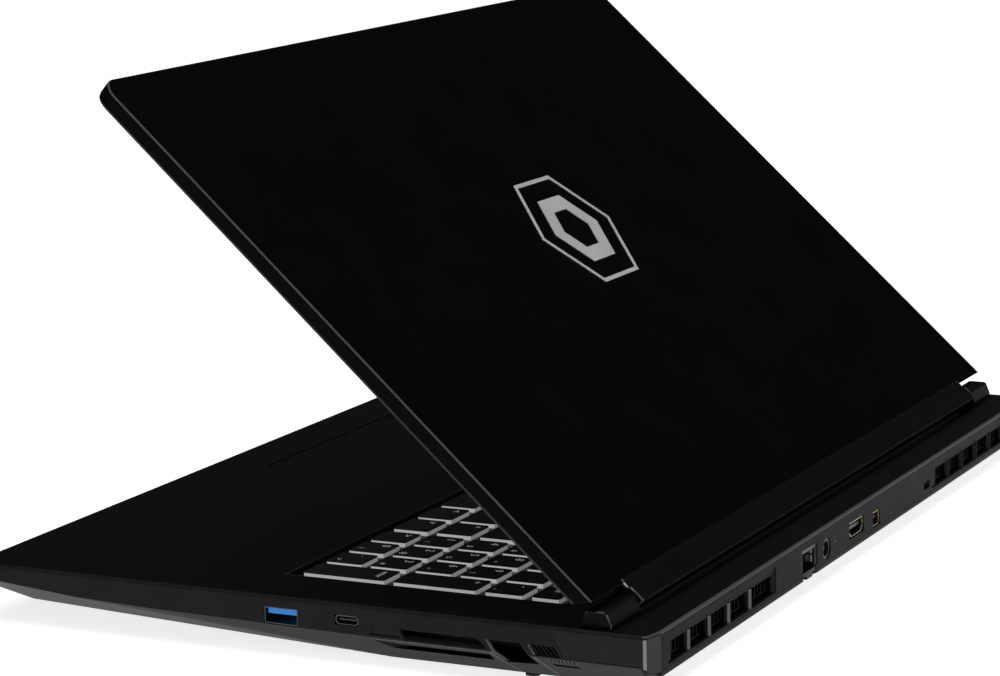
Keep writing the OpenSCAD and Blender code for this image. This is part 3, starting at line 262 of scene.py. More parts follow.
GREY_EDGE = (0.16, 0.16, 0.165)
MATS = {
    "lid_metal": finish_of("lid_metal", (0.0021, 0.0021, 0.0022), 0.4, spec=0.03, grain=5200, bump=0.08,
                           # chamfers lighter as bare metal, and brightened further as a painted highlight
                           blotch=30, bands=[(0.3, 0.9, (0.1, 0.1, 0.102), LID_UP)],
                           edge=GREY_EDGE, edge_amount=0.25),
    "deck_metal": finish_of("deck_metal", (0.0024, 0.0024, 0.0026), 0.36, spec=0.08, grain=5200, bump=0.08,
                            # both chamfers lighter as bare metal, and brightened further as painted
                            # highlights
                            bands=[(0.93, 1.1, (0.013, 0.013, 0.0133), SIDE_RIM),
                                   (0.75, 1.1, (0.085, 0.087, 0.087), REAR_RIM)],
                            # zones: a thin painted highlight line on the rear face, and the deck behind the
                            # hinge painted lighter as a painted reflection of the rear lamp
                            zones=[((0, 133.5, 20.0), (190, 135, 20.42), (0.06, 0.061, 0.061)),
                                   ((0, 121.0, 21.1), (197.2, 133.2, 21.3), (0.005, 0.005, 0.0052))],
                            edge=GREY_EDGE, edge_amount=0.4, edge_r=1.5e-4),
    "deck_plastic": finish_of("deck_plastic", (0.003, 0.003, 0.0032), 0.3, spec=0.2, grain=3000),
    "base_plastic": finish_of("base_plastic", (0.0145, 0.0145, 0.0147), 0.48, spec=0.06, grain=3600, bump=0.3,
                              # downward bevel painted lighter: painted light from the glowing floor below
                              depth=4e-5, bands=[(0.12, 0.98, (0.028, 0.028, 0.0277), DOWN),
                                                 # rear-facing faces painted near black: painted shade along
                                                 # the rear bottom edge
                                                 (0.9, 1.1, (0.002, 0.002, 0.002), REAR)],
                              # zone: a darker patch on the side wall at the rear vent, painted shade
                              zones=[((196.9, 89.5, 10.6), (197.7, 102.2, 15.6), (0.005, 0.005, 0.0051))],
                              edge=(0.1, 0.1, 0.102), edge_amount=0.6),
    "rear_plastic": finish_of("rear_plastic", (0.009, 0.009, 0.0092), 0.42, spec=0.02, grain=3600, bump=0.25,
                              # right-facing faces painted lighter as painted light; the corner bands are
                              # painted highlights on the rear corner's chamfer and the grille ridges
                              depth=3e-5, bands=[(0.95, 1.1, (0.024, 0.024, 0.0243), RIGHT),
                                                 (0.83, 0.885, (0.052, 0.052, 0.0515), CORNER),
                                                 (0.885, 0.95, (0.13, 0.13, 0.129), CORNER),
                                                 (0.985, 1.1, (0.26, 0.26, 0.255), CORNER_STRIP)],
                              edge=(0.13, 0.13, 0.132), edge_amount=0.6),
    "tower_plastic": finish_of("tower_plastic", (0.0026, 0.0026, 0.0027), 0.4, spec=0.06, grain=3600,
                               # rear-facing faces painted lighter: painted light from the rear lamp
                               bump=0.2, bands=[(0.3, 1.1, (0.009, 0.009, 0.0091), REAR)],
                               edge=(0.05, 0.05, 0.051), edge_amount=0.5),
    "lid_plastic": finish_of("lid_plastic", (0.004, 0.004, 0.0042), 0.4, spec=0.16, grain=3600, bump=0.2,
                             # lower face of the hinge lip painted lighter: painted highlight along its edge
                             bands=[(0.97, 1.1, (0.03, 0.03, 0.0303), LIP_LOWER)],
                             edge=(0.06, 0.06, 0.061), edge_amount=0.6),
    "bezel_plastic": finish_of("bezel_plastic", (0.0035, 0.0035, 0.0036), 0.5, spec=0.12, grain=3000,
                               # side faces painted lighter: painted light on the bezel's sides
                               bump=0.3, bands=[(0.9, 1.1, (0.04, 0.04, 0.0404), RIGHT),
                                                (0.9, 1.1, (0.04, 0.04, 0.0404), LEFT)],
                               edge=(0.12, 0.12, 0.12), edge_amount=0.5),
    "display": finish_of("display", (0.004, 0.0042, 0.005), 0.2, spec=0.6, grain=7000, bump=0.03, tone=0.05),
    "pad_surface": finish_of("pad_surface", (0.0024, 0.0024, 0.0026), 0.33, spec=0.08, grain=4000, bump=0.05,
                             edge=(0.02, 0.02, 0.02), edge_amount=0.5, edge_r=1.5e-4),
    "button_metal": finish_of("button_metal", (0.02, 0.02, 0.021), 0.35, metal=0.6, grain=1500,
                              brushed=(1, 0.03, 0.03), bump=0.1, edge=(0.4, 0.4, 0.41), edge_amount=0.8),
    "rubber": finish_of("rubber", (0.012, 0.012, 0.012), 0.82, spec=0.3, grain=2200, bump=0.5, depth=5e-5,
                        edge=(0.05, 0.05, 0.05), edge_amount=0.4),
    "steel": finish_of("steel", (0.45, 0.46, 0.47), 0.32, metal=1.0, grain=900, brushed=(1, 0.04, 0.04),
                       bump=0.12, edge=(0.6, 0.61, 0.62), edge_amount=0.6),
    "screw_steel": finish_of("screw_steel", (0.06, 0.06, 0.062), 0.36, metal=1.0, grain=2500, bump=0.1,
                             edge=(0.35, 0.35, 0.36), edge_amount=0.8),
    # socket metal darker than bare nickel, as painted shade in the socket mouths
    "socket_metal": finish_of("socket_metal", (0.12, 0.12, 0.123), 0.3, metal=1.0, grain=1800,
                              brushed=(0.1, 1, 1), bump=0.08, edge=(0.24, 0.24, 0.245)),
    "gilt_metal": finish_of("gilt_metal", (0.3, 0.27, 0.21), 0.28, metal=1.0, grain=1800, bump=0.08,
                            edge=(0.5, 0.46, 0.38)),
    "contact_gold": finish_of("contact_gold", (0.78, 0.6, 0.3), 0.24, metal=1.0, grain=1800, bump=0.06),
    "bright_metal": finish_of("bright_metal", (0.7, 0.7, 0.71), 0.25, metal=0.9, grain=1500, bump=0.06,
                              brushed=(1, 1, 0.1)),
    # light grey for strips that stand for painted highlights on rib, housing and keyboard-well edges
    "trim": finish_of("trim", (0.13, 0.13, 0.128), 0.4, spec=0.2, grain=2600, bump=0.12, tone=0.25,
                      blotch=260),
    "fin_metal": finish_of("fin_metal", (0.0025, 0.0025, 0.0027), 0.5, metal=0.2, spec=0.05, grain=900,
                           bump=0.2, brushed=(1, 0.1, 0.1), edge=(0.004, 0.004, 0.004)),
    "dark_copper": finish_of("dark_copper", (0.03, 0.018, 0.013), 0.45, metal=0.8, grain=1600, bump=0.15,
                             tone=0.3, brushed=(0.1, 1, 1), edge=(0.2, 0.11, 0.07)),
    "lens_glass": finish_of("lens_glass", (0.004, 0.004, 0.012), 0.06, spec=0.7, grain=5000, bump=0.01,
                            coat=1.0),
    "socket_plastic": finish_of("socket_plastic", (0.009, 0.009, 0.0095), 0.38, grain=2600, bump=0.15,
                                edge=(0.09, 0.09, 0.09), edge_amount=0.5),
    "jaw_plastic": finish_of("jaw_plastic", (0.004, 0.004, 0.0042), 0.4, spec=0.1, grain=2600, bump=0.15,
                             edge=(0.03, 0.03, 0.03), edge_amount=0.5),
    # blue tongue with a faint glow: painted light, as the tongue is no lamp
    "blue_plastic": finish_of("blue_plastic", (0.0, 0.24, 0.78), 0.34, grain=2200, bump=0.1, tone=0.08,
                              edge=(0.03, 0.36, 0.85), edge_amount=0.5, emit=0.12),
    "copper": finish_of("copper", (0.72, 0.36, 0.2), 0.3, metal=1.0, tone=0.22, grain=1600, bump=0.15,
                        brushed=(0.1, 1, 1), edge=(0.9, 0.55, 0.35)),
    "circuit_board": finish_of("circuit_board", (0.008, 0.05, 0.028), 0.36, tone=0.3, blotch=120, grain=900,
                               bump=0.2, specks=((0.5, 0.38, 0.12), 700.0), edge=(0.25, 0.2, 0.1)),
    "silicon": finish_of("silicon", (0.08, 0.085, 0.095), 0.16, metal=0.5, grain=3000, bump=0.04,
                         edge=(0.2, 0.2, 0.21)),
    "inner_plastic": finish_of("inner_plastic", (0.012, 0.012, 0.0125), 0.46, grain=2600, bump=0.25,
                               edge=(0.08, 0.08, 0.08), edge_amount=0.5),
    "battery_wrap": finish_of("battery_wrap", (0.01, 0.01, 0.011), 0.3, grain=400, bump=0.35, depth=8e-5,
                              tone=0.3, edge=(0.06, 0.06, 0.06)),
    "mesh": finish_of("mesh", (0.014, 0.014, 0.014), 0.7, grain=1800, bump=0.8, depth=8e-5),
    "cable": finish_of("cable", (0.012, 0.012, 0.013), 0.5, grain=1500, bump=0.2),
    "light": finish_of("light", (0.12, 0.13, 0.14), 0.25, grain=1500, bump=0.05, tone=0.05),
    "emblem_metal": finish_of("emblem_metal", (0.72, 0.72, 0.725), 0.34, metal=0.15, grain=1400,
                              brushed=(1, 0.05, 0.05), bump=0.12, tone=0.1, edge=(0.65, 0.65, 0.65)),
    "cap_top": finish_of("cap_top", (0.0045, 0.0045, 0.0048), 0.44, spec=0.35, grain=4200, bump=0.2,
                         depth=3e-5, edge=(0.02, 0.02, 0.02), edge_amount=0.4),
    "cap_skirt": finish_of("cap_skirt", (0.86, 0.87, 0.88), 0.3, grain=1800, bump=0.05, tone=0.03,
                           # rear-facing skirt sides painted darker as painted shade; the glow stands for the
                           # keyboard backlight and partly is painted light that lifts the skirts out of the
                           # lid's shade
                           edge_r=1e-4, bands=[(0.8, 1.1, (0.4, 0.4, 0.41), REAR)], emit=0.35),
    # legends glow as backlit, partly painted light that makes them brighter
    "legend": finish_of("legend", (0.8, 0.81, 0.82), 0.5, grain=3000, bump=0.05, tone=0.06, emit=0.25),
}


# Nodes with a finish of their own, in place of their material slot's
NODE_FINISH = {"hinge_covers": "tower_plastic", "lan_jaw": "jaw_plastic", "heat_pipes": "dark_copper"}


def paint_frame():
    """Each CAD node gets the finish of its material slot, or its own."""
    for sub in frame["record"]["subparts"]:
        node = nodes[sub["node"]]
        slot = NODE_FINISH.get(sub["node"], sub["material_slot"])
        mat = MATS["cap_top" if slot == "key_cap" else slot]
        if not node.data.materials:
            node.data.materials.append(mat)
        for holder in node.material_slots:
            holder.material = mat


# ---------------------------------------------------------------- mesh helpers
SHARP_ANGLE = math.radians(35)
CORNER_STEPS, TUBE_STEPS, LENS_STEPS = 5, 24, 28


def islands(node):
    """(lowest, highest) corner of each separate solid of a CAD node, back rows first, then left to right."""
    mesh = nodes[node].data
    owner = {}
    spots = {}
    for v in mesh.vertices:
        key = tuple(round(c * 1e6) for c in v.co)
        owner[v.index] = spots.setdefault(key, v.index)
    root = list(range(len(mesh.vertices)))

    def find(i):
        while root[i] != i:
            root[i] = root[root[i]]
            i = root[i]
        return i

    for poly in mesh.polygons:
        first = find(owner[poly.vertices[0]])
        for i in poly.vertices[1:]:
            root[find(owner[i])] = first
    boxes = {}
    for v in mesh.vertices:
        low, high = boxes.setdefault(find(owner[v.index]), (v.co.copy(), v.co.copy()))
        for k in range(3):
            low[k], high[k] = min(low[k], v.co[k]), max(high[k], v.co[k])
    return sorted(boxes.values(), key=lambda b: (-round((b[0].y + b[1].y) / 2, 4), b[0].x))


def piece(name, bm, mats, body, replaced=(), smooth=True):
    """Turns a bmesh into a piece that rides on a body."""
    mesh = bpy.data.meshes.new(name)
    bmesh.ops.recalc_face_normals(bm, faces=bm.faces)
    bm.to_mesh(mesh)
    bm.free()
    for m in mats:
        mesh.materials.append(MATS[m])
    made = bpy.data.objects.new(name, mesh)
    bpy.context.scene.collection.objects.link(made)
    if smooth:
        mesh.shade_smooth()
        mesh.set_sharp_from_angle(angle=SHARP_ANGLE)
    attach(made, body)
    if replaced:
        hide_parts(*replaced)


def rounded_loop(cx, cy, w, d, r):
    """Points of a rounded rectangle, counter-clockwise."""
    points = []
    for sx, sy, start in ((1, 1, 0), (-1, 1, 90), (-1, -1, 180), (1, -1, 270)):
        x, y = cx + sx * (w / 2 - r), cy + sy * (d / 2 - r)
        for i in range(CORNER_STEPS + 1):
            a = math.radians(start + 90 * i / CORNER_STEPS)
            points.append((x + r * math.cos(a), y + r * math.sin(a)))
    return points


def add_rings(bm, rings, mats, cap_low=True, cap_high=True, cap_mats=(0, 0)):
    """Joins rings of points, each a list of (x, y, z), with faces of the given material numbers."""
    made = [[bm.verts.new(p) for p in ring] for ring in rings]
    n = len(made[0])
    for k, (a, b) in enumerate(zip(made, made[1:])):
        for i in range(n):
            f = bm.faces.new((a[i], a[(i + 1) % n], b[(i + 1) % n], b[i]))
            f.material_index = mats[k]
    if cap_low:
        bm.faces.new(made[0][::-1]).material_index = cap_mats[0]
    if cap_high:
        bm.faces.new(made[-1]).material_index = cap_mats[1]


def add_prism(bm, rings):
    """Rings of one material, closed at both ends."""
    add_rings(bm, rings, [0] * (len(rings) - 1))


def add_block(bm, low, high):
    """Block between two corners in millimetres."""
    (x0, y0, z0), (x1, y1, z1) = ([c * MM for c in corner] for corner in (low, high))
    add_prism(bm, [[(x, y, z) for x, y in ((x0, y0), (x1, y0), (x1, y1), (x0, y1))] for z in (z0, z1)])


def add_tube(bm, centre, r_in, r_out, y_out, y_in):
    """Tube along Y, in millimetres."""
    turns = [math.tau * i / TUBE_STEPS for i in range(TUBE_STEPS)]
    loops = [[bm.verts.new(((centre[0] + r * math.cos(a)) * MM, y * MM, (centre[1] + r * math.sin(a)) * MM))
              for a in turns] for r, y in ((r_in, y_in), (r_in, y_out), (r_out, y_out), (r_out, y_in))]
    close_rings(bm, loops)


def close_rings(bm, loops):
    """Faces between rings of vertices, and from the last back to the first."""
    n = len(loops[0])
    for a, b in zip(loops, loops[1:] + loops[:1]):
        for i in range(n):
            bm.faces.new((a[i], a[(i + 1) % n], b[(i + 1) % n], b[i]))


# ---------------------------------------------------------------- keys
CAP_R = 1.1 * MM
TOP_BAND = 0.45 * MM
TOP_BEVEL = 0.22 * MM
DISH = 0.16 * MM
DISH_RIM = 1.3 * MM
LETTER, WORD, SECOND_LETTER = 4.8 * MM, 3.4 * MM, 3.2 * MM

LEGENDS = {
    "function_keys": (["esc"] + [f"f{i}" for i in range(1, 13)] +
                      ["prt", "ins", "del", "hm", "end", "pu", "pd"]),
    "number_keys": list("`1234567890-=") + ["back"],
    "upper_keys": ["tab"] + list("QWERTYUIOP[]") + ["\\"],
    "home_keys": ["caps"] + list("ASDFGHJKL;'"),
    "lower_keys": ["shift"] + list("ZXCVBNM,./") + ["shift"],
    "bottom_keys": ["ctrl", "fn", "opt", "alt", "alt", "menu", "ctrl"],
    "space_bar": [""],
    "enter_key": ["enter"],
    "arrow_keys": ["^", "<", "v", ">"],
    "keypad_keys": ["num", "/", "*", "-", "7", "8", "9", "+", "4", "5", "6", "1", "2", "3", "0", "."],
    "keypad_enter": ["enter"],
}

# Second, smaller sign of the number and bracket keys
SECOND = dict(zip("`1234567890-=[];',./", "~!@#$%^&*()_+{}:\"<>?"))


def add_cap(bm, low, high):
    """One key cap: straight translucent skirt, dark top with a soft edge and a shallow dish."""
    cx, cy = (low.x + high.x) / 2, (low.y + high.y) / 2
    w, d = high.x - low.x, high.y - low.y
    levels = [  # how far in from the outline, height, corner radius
        (0, low.z, CAP_R),
        (0, high.z - TOP_BAND, CAP_R),
        (0, high.z - TOP_BEVEL, CAP_R),
        (TOP_BEVEL * 0.3, high.z - TOP_BEVEL * 0.3, CAP_R),
        (TOP_BEVEL, high.z, CAP_R - TOP_BEVEL * 0.6),
        (DISH_RIM, high.z - DISH * 0.7, CAP_R * 0.9),
        (DISH_RIM * 1.9, high.z - DISH, CAP_R * 0.8),
    ]
    rings = [[(x, y, z) for x, y in rounded_loop(cx, cy, w - 2 * inset, d - 2 * inset, r)]
             for inset, z, r in levels]
    add_rings(bm, rings, [1, 0, 0, 0, 0, 0], cap_mats=(1, 0))


def add_legend(bm, text, size, x, y, z, mat):
    """Generic letters, laid flat at a height, as a mesh."""
    curve = bpy.data.curves.new("legend", "FONT")
    curve.body, curve.size, curve.resolution_u = text, size, 2
    maker = bpy.data.objects.new("legend", curve)
    bpy.context.scene.collection.objects.link(maker)
    bpy.context.view_layer.update()
    mesh = bpy.data.meshes.new_from_object(maker.evaluated_get(bpy.context.evaluated_depsgraph_get()))
    before = len(bm.faces)
    mesh.transform(Matrix.Translation((x, y, z)))
    bm.from_mesh(mesh)
    bm.faces.ensure_lookup_table()
    for f in bm.faces[before:]:
        f.material_index = mat
    bpy.data.objects.remove(maker)
    bpy.data.curves.remove(curve)
    bpy.data.meshes.remove(mesh)


def make_keys():
    for node, legends in LEGENDS.items():
        bm = bmesh.new()
        for (low, high), text in zip(islands(node), legends, strict=True):
            add_cap(bm, low, high)
            z = high.z - DISH * 0.45
            if text:
                size = LETTER if len(text) == 1 else WORD
                add_legend(bm, text, size, low.x + 2.2 * MM, high.y - 5.4 * MM, z, 2)
                if text in SECOND:
                    add_legend(bm, SECOND[text], SECOND_LETTER, high.x - 4.6 * MM, low.y + 2.2 * MM, z, 2)
        piece(node + "_caps", bm, ["cap_top", "cap_skirt", "legend"], node, [node])


# ---------------------------------------------------------------- side vent and its painted highlights
SIDE_X = 198 * MM
CREASE_Z = 10.45 * MM
BEVEL_RUN = 1.117  # how far the bevel moves in for each millimetre that it goes down
BEVEL_OUT = Vector((0.667, 0, -0.745))
STRIP_SINK = 0.04 * MM  # how far the highlight strips lie under the wall


def on_side(y, z):
    """Point of the right side's surface at (y, z) in millimetres."""
    x = SIDE_X - max(0.0, CREASE_Z - z * MM) * BEVEL_RUN
    return Vector((x, y * MM, z * MM))


def edge_strip(bm, points, width):
    """Sloping strip of painted highlight along an opening's edge; a positive width lies towards the rear of
    the points.
    """
    w = width * MM
    rings = []
    for y, z in points:
        p = on_side(y, z) - Vector((STRIP_SINK, 0, 0))
        inwards = -abs(w)
        rings.append([p + Vector(step) for step in
                      ((0, 0, 0), (inwards, w, 0), (inwards - MM, w, 0), (inwards - MM, 0, 0))])
    add_prism(bm, rings)


def bevel_ridge(bm, points, width, height):
    """Raised line on the bevel under the side wall, in the light grey of a painted highlight."""
    spots = [on_side(y, z) for y, z in points]
    rings = []
    for i, p in enumerate(spots):
        ahead = (spots[min(i + 1, len(spots) - 1)] - spots[max(i - 1, 0)]).normalized()
        across = ahead.cross(BEVEL_OUT).normalized() * width * MM / 2
        rise = BEVEL_OUT * height * MM
        rings.append([p - across - rise, p + across - rise, p + across * 0.5 + rise, p - across * 0.5 + rise])
    add_prism(bm, rings)


def make_vent_highlights():
    """Painted highlights along the edges of the leaning ribs, over the wall and the bevel; both sides of the
    base.

    The points are (y, z) in millimetres.
    """
    bm = bmesh.new()
    edge_strip(bm, [(74.6, 14.5), (77.2, 10.5), (80.3, 6.2)], 0.45)
    edge_strip(bm, [(89.8, 14.5), (92.2, 10.9)], 0.5)
    edge_strip(bm, [(72.1, 14.5), (74, 12.4), (75.8, 10.7)], -0.4)
    edge_strip(bm, [(87.5, 14.5), (90.5, 10.5), (92.3, 6.8)], -0.35)
    bevel_ridge(bm, [(92.4, 10.4), (94.4, 7.2), (97.3, 2.4)], 0.7, 0.22)
    bevel_ridge(bm, [(76.3, 10.4), (78.6, 7.0), (83.2, 2.0)], 0.6, 0.2)
    bevel_ridge(bm, [(32.6, 10.2), (44, 10.3), (76.2, 10.2)], 0.4, 0.14)
    for i in range(8):
        bevel_ridge(bm, [(97.0 + 1.4 * i, 9.95), (97.4 + 1.4 * i, 8.85)], 0.5, 0.1)
    mirrored = bmesh.ops.duplicate(bm, geom=bm.verts[:] + bm.edges[:] + bm.faces[:])["geom"]
    for v in mirrored:
        if isinstance(v, bmesh.types.BMVert):
            v.co.x = -v.co.x
    piece("vent_highlights", bm, ["trim"], "base")


# ---------------------------------------------------------------- sockets
# All in millimetres
USB_SPOTS = ((197.5, -2.7, -1), (-197.5, 8.0, 1))  # mouth's x, middle's y, way in along x
USB_Z, USB_PITCH, USB_REACH = 14.1, 2.33, (1.6, 9.5)
LAN_X, LAN_PITCH = 57.5, 1.02
LAN_WIRES = ((120.5, 126.5, 15.0, 13.4), (126.5, 130.0, 13.4, 15.2))  # y and z from, to
LAN_SPRINGS = ((51.42, 51.75), (63.25, 63.58))  # x from, to
WIRE_HALF = 0.22
VIDEO_ROWS = ((9.3, 13.8, 9, 1.0), (-11.9, 12.1, 5, 0.8))  # middle's x, tongue's z, contacts, pitch
POWER_AT = (40.4, 12.3)  # x, z


def make_contacts():
    """Spring contacts and liners inside the sockets."""
    bm = bmesh.new()
    for x, y, inwards in USB_SPOTS:
        for i in range(4):
            cy = y - 3.5 + i * USB_PITCH
            x0, x1 = sorted(x + inwards * reach for reach in USB_REACH)
            add_block(bm, (x0, cy - 0.5, USB_Z + 0.25), (x1, cy + 0.5, USB_Z + 0.4))
    # network socket: eight wires that slope down from the roof of the cavity
    section = ((-WIRE_HALF, 0), (WIRE_HALF, 0), (WIRE_HALF, 0.25), (-WIRE_HALF, 0.25))
    for i in range(8):
        cx = LAN_X - 3.57 + i * LAN_PITCH
        for y0, y1, z0, z1 in LAN_WIRES:
            add_rings(bm, [[((cx + dx) * MM, y * MM, (z + dz) * MM) for dx, dz in section]
                           for y, z in ((y0, z0), (y1, z1))], [0])
    # contacts on the tongues of the two video sockets
    for cx, z, count, pitch in VIDEO_ROWS:
        for i in range(count):
            x = cx + (i - (count - 1) / 2) * pitch
            add_block(bm, (x - WIRE_HALF, 127, z + 0.19), (x + WIRE_HALF, 132.3, z + 0.27))
    piece("socket_contacts", bm, ["contact_gold"], "base")

    bm = bmesh.new()
    # shield springs of the network socket, on its two side walls
    for x0, x1 in LAN_SPRINGS:
        for z0 in (10.0, 13.2):
            add_block(bm, (x0, 129.6, z0), (x1, 132.3, z0 + 2.4))
    # sleeve of the power inlet's pin and the ring round it
    add_tube(bm, POWER_AT, 1.27, 1.42, 132.4, 124.0)
    add_tube(bm, POWER_AT, 2.5, 2.84, 131.6, 124.0)
    piece("socket_springs", bm, ["bright_metal"], "base")


# ---------------------------------------------------------------- hinge trim
HINGE = Vector((0, 114.3, 23.65)) * MM

# Sections as (y, z) from the hinge axis, in millimetres
LIP_EDGE = [(-7.0, 4.3), (-3.2, 4.3), (-3.0, 4.9), (2.8, 4.9), (3.2, 3.85), (3.2, -0.9)]
LIP_OUTER, LIP_INNER = 171.62, 171.1
TOWER_END = [(-5.1, 1.9), (-4.5, 2.75), (1.45, 2.84), (2.6, 2.05), (4.1, -1.1), (3.85, -2.4)]
TOWER_BODY = [(-5.1, 2.2), (-4.3, 3.45), (2.2, 3.58), (3.4, 2.75), (4.9, -1.1), (4.65, -2.4)]
# Corners of the painted-highlight strip round a housing's chamfer: x, part of the way from end to body,
# growth
TOWER_HIGHLIGHTS = ((194.4, 0, 0.92), (194.52, 0, 1.0), (194.2, 0.36, 1.01), (194.0, 0.36, 0.92))


def lid_point(x, y, z):
    """A point in the closed lid's own millimetres, moved to the open lid."""
    c, k = math.cos(LID_ANGLE), math.sin(LID_ANGLE)
    return HINGE + Vector((x, y * c + z * k, -y * k + z * c)) * MM


def tower_point(side, end, body, x, part, k):
    """A point between a housing's end section and its body's, grown from the hinge axis."""
    y, z = (e + (b - e) * part for e, b in zip(end, body))
    return HINGE + Vector((side * x, y * k, z if z < 0 else z * k)) * MM


def make_hinge_edges():
    """Polished end edges of the hinge lip, and strips of painted highlight on the end edges of the two
    housings beside it.
    """
    bm = bmesh.new()
    for side in (-1, 1):
        rings = []
        for y, z in LIP_EDGE:
            outer, inner = side * LIP_OUTER, side * LIP_INNER
            away = 0.12 if z > 4 else 0.0
            rings.append([lid_point(outer, y, z), lid_point(inner, y, z + away),
                          lid_point(inner, y - 0.5, z - 0.5), lid_point(outer, y - 0.5, z - 0.5)])
        add_prism(bm, rings)
    piece("lip_trim", bm, ["bright_metal"], "lid")

    bm = bmesh.new()
    for side in (-1, 1):
        add_prism(bm, [[tower_point(side, e, b, *corner) for corner in TOWER_HIGHLIGHTS]
                       for e, b in zip(TOWER_END, TOWER_BODY)])
    piece("tower_highlights", bm, ["trim"], "base")


# ---------------------------------------------------------------- rims, screws and camera
DECK_Z = 21.2  # mm
WELL_GAP = 0.1 * MM
WELL_STEPS = ((0.28, 0.01), (0.28, 0.05), (0.0, 0.05), (0.22, -0.3), (0.02, -0.5))  # mm out, mm up


def make_well_rim():
    """Bevelled lip round the keyboard opening, in the light grey of a painted highlight."""
    low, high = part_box("key_frame")
    bm = bmesh.new()
    loops = []
    for out, up in WELL_STEPS:
        x0, x1 = low.x - WELL_GAP - out * MM, high.x + WELL_GAP + out * MM
        y0, y1 = low.y - WELL_GAP - out * MM, high.y + WELL_GAP + out * MM
        z = (DECK_Z + up) * MM
        loops.append([bm.verts.new((x, y, z)) for x, y in ((x0, y0), (x1, y0), (x1, y1), (x0, y1))])
    close_rings(bm, loops)
    piece("well_rim", bm, ["trim"], "base", smooth=False)


HEAD_R = 2.3 * MM
SHANK_R = 1.0 * MM
ROOT_R = SHANK_R * 0.8
THREAD = 0.7 * MM
CROSS_ARM = 1.3 * MM
CROSS_HALF = 0.3 * MM


def cross_radius(angle):
    """Distance from the middle to the outline of a cross, in a direction."""
    off = abs((angle + math.pi / 4) % (math.pi / 2) - math.pi / 4)
    return min(CROSS_ARM / math.cos(off), CROSS_HALF / max(math.sin(off), 1e-6))


def make_screws():
    """Cross-recess screws with rounded heads and threads, where the plain ones are."""
    tip, flank = math.atan2(CROSS_HALF, CROSS_ARM), math.radians(28)
    angles = [math.radians(90 * q) + a for q in range(4) for a in (-math.pi / 4, -flank, -tip, 0, tip, flank)]
    cross = [cross_radius(a) for a in angles]
    # each level is a radius for every angle, and a height over the head's face
    head = [([r * 0.6 for r in cross], 0.5 * MM), (cross, 0.06 * MM), ([r * 1.08 for r in cross], 0.0)]
    head += [([r] * len(angles), up * MM) for r, up in
             ((HEAD_R * 0.8, 0.02), (HEAD_R * 0.95, 0.14), (HEAD_R, 0.34), (HEAD_R, 0.85), (SHANK_R, 0.86))]
    bm = bmesh.new()
    for low, high in islands("bottom_screws"):
        cx, cy = (low.x + high.x) / 2, (low.y + high.y) / 2
        length = high.z - low.z
        levels = list(head)
        up = 1.6 * MM
        while up < length - 0.6 * MM:
            levels += [([SHANK_R] * len(angles), up), ([ROOT_R] * len(angles), up + THREAD / 2)]
            up += THREAD
        levels.append(([ROOT_R] * len(angles), length))
        add_prism(bm, [[(cx + r * math.cos(a), cy + r * math.sin(a), low.z + up)
                        for r, a in zip(radii, angles)] for radii, up in levels])
    piece("screws", bm, ["screw_steel"], "base", ["bottom_screws"])


# In the closed lid's millimetres
CAMERA_Y = -242.6
FACE_Z = -1.65
MICROPHONE_X = 24
LIGHT_X = 6.5


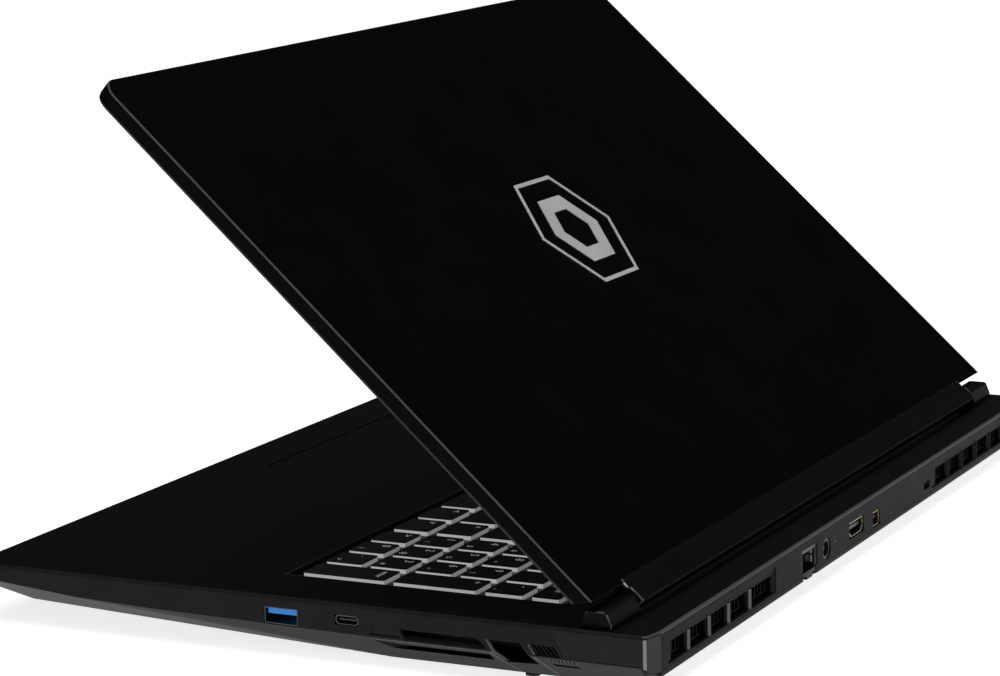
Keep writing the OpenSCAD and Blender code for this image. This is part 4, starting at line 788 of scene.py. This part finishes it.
def make_camera_parts():
    """Lens with its ring, a light and two microphone slots on the inner face of the lid."""
    def round_rings(bm, x, profile, caps=True):
        """Rings about a point of the lid's face, from pairs of radius and height over the face."""
        angles = [math.tau * i / LENS_STEPS for i in range(LENS_STEPS)]
        add_rings(bm, [[lid_point(x + r * math.cos(a), CAMERA_Y + r * math.sin(a), FACE_Z + up)
                        for a in angles] for r, up in profile], [0] * (len(profile) - 1), caps, caps)

    bm = bmesh.new()
    round_rings(bm, 0, ((1.5, 0.3), (1.55, -0.05), (1.7, -0.14), (2.0, -0.12), (2.15, 0.02)), caps=False)
    piece("camera_ring", bm, ["socket_metal"], "lid")
    bm = bmesh.new()
    round_rings(bm, 0, ((1.42, 0.28), (1.3, 0.16), (0.9, 0.08), (0.4, 0.04)))
    round_rings(bm, LIGHT_X, ((0.55, 0.02), (0.5, -0.05), (0.3, -0.08)))
    piece("camera_lens", bm, ["lens_glass"], "lid")
    bm = bmesh.new()
    for x in (-MICROPHONE_X, MICROPHONE_X):
        outer = rounded_loop(x, CAMERA_Y, 5.2, 1.3, 0.64)
        inner = rounded_loop(x, CAMERA_Y, 4.6, 0.7, 0.34)
        steps = ((outer, 0.02), (outer, -0.06), (inner, -0.06), (inner, 0.01))
        add_rings(bm, [[lid_point(px, py, FACE_Z + up) for px, py in points] for points, up in steps],
                  [0] * 3, False, True)
    piece("microphone_slots", bm, ["rubber"], "lid")


# ---------------------------------------------------------------- floor
FLOOR_HALF = 15.0


def make_floor():
    """Pale floor with a faint glow, clear from below so that the underside can be seen."""
    bm = bmesh.new()
    bm.faces.new([bm.verts.new((x * FLOOR_HALF, y * FLOOR_HALF, 0))
                  for x, y in ((-1, -1), (1, -1), (1, 1), (-1, 1))])
    mesh = bpy.data.meshes.new("floor")
    bm.to_mesh(mesh)
    bm.free()
    floor = bpy.data.objects.new("floor", mesh)
    bpy.context.scene.collection.objects.link(floor)
    t = Tree("floor")
    t.plug(t.bsdf.inputs["Base Color"], t.mix(t.noise(3.0), (0.84, 0.84, 0.845), (0.88, 0.88, 0.885)))
    t.bsdf.inputs["Roughness"].default_value = 0.9
    t.bsdf.inputs["Specular IOR Level"].default_value = 0.1
    t.bsdf.inputs["Emission Color"].default_value = (1, 1, 1, 1)
    t.bsdf.inputs["Emission Strength"].default_value = 0.8
    geometry, clear, mixed = t.node("NewGeometry"), t.node("BsdfTransparent"), t.node("MixShader")
    t.plug(mixed.inputs[0], geometry.outputs["Backfacing"])
    t.plug(mixed.inputs[1], t.bsdf.outputs[0])
    t.plug(mixed.inputs[2], clear.outputs[0])
    t.plug(t.tree.nodes["Material Output"].inputs["Surface"], mixed.outputs[0])
    mesh.materials.append(t.mat)


# ---------------------------------------------------------------- run
make_camera()
bpy.context.scene.view_settings.view_transform = "Standard"
make_world()
soft_light("overhead", (-0.1, -0.2, 2.6), (0, 0, 0), 3.2, 3.2, 45)
soft_light("rear_side", (1.3, 2.6, 1.0), (0, 0, 0.05), 1.6, 1.2, 12)
make_floor()
paint_frame()
make_keys()
make_vent_highlights()
make_contacts()
make_hinge_edges()
make_well_rim()
make_screws()
make_camera_parts()
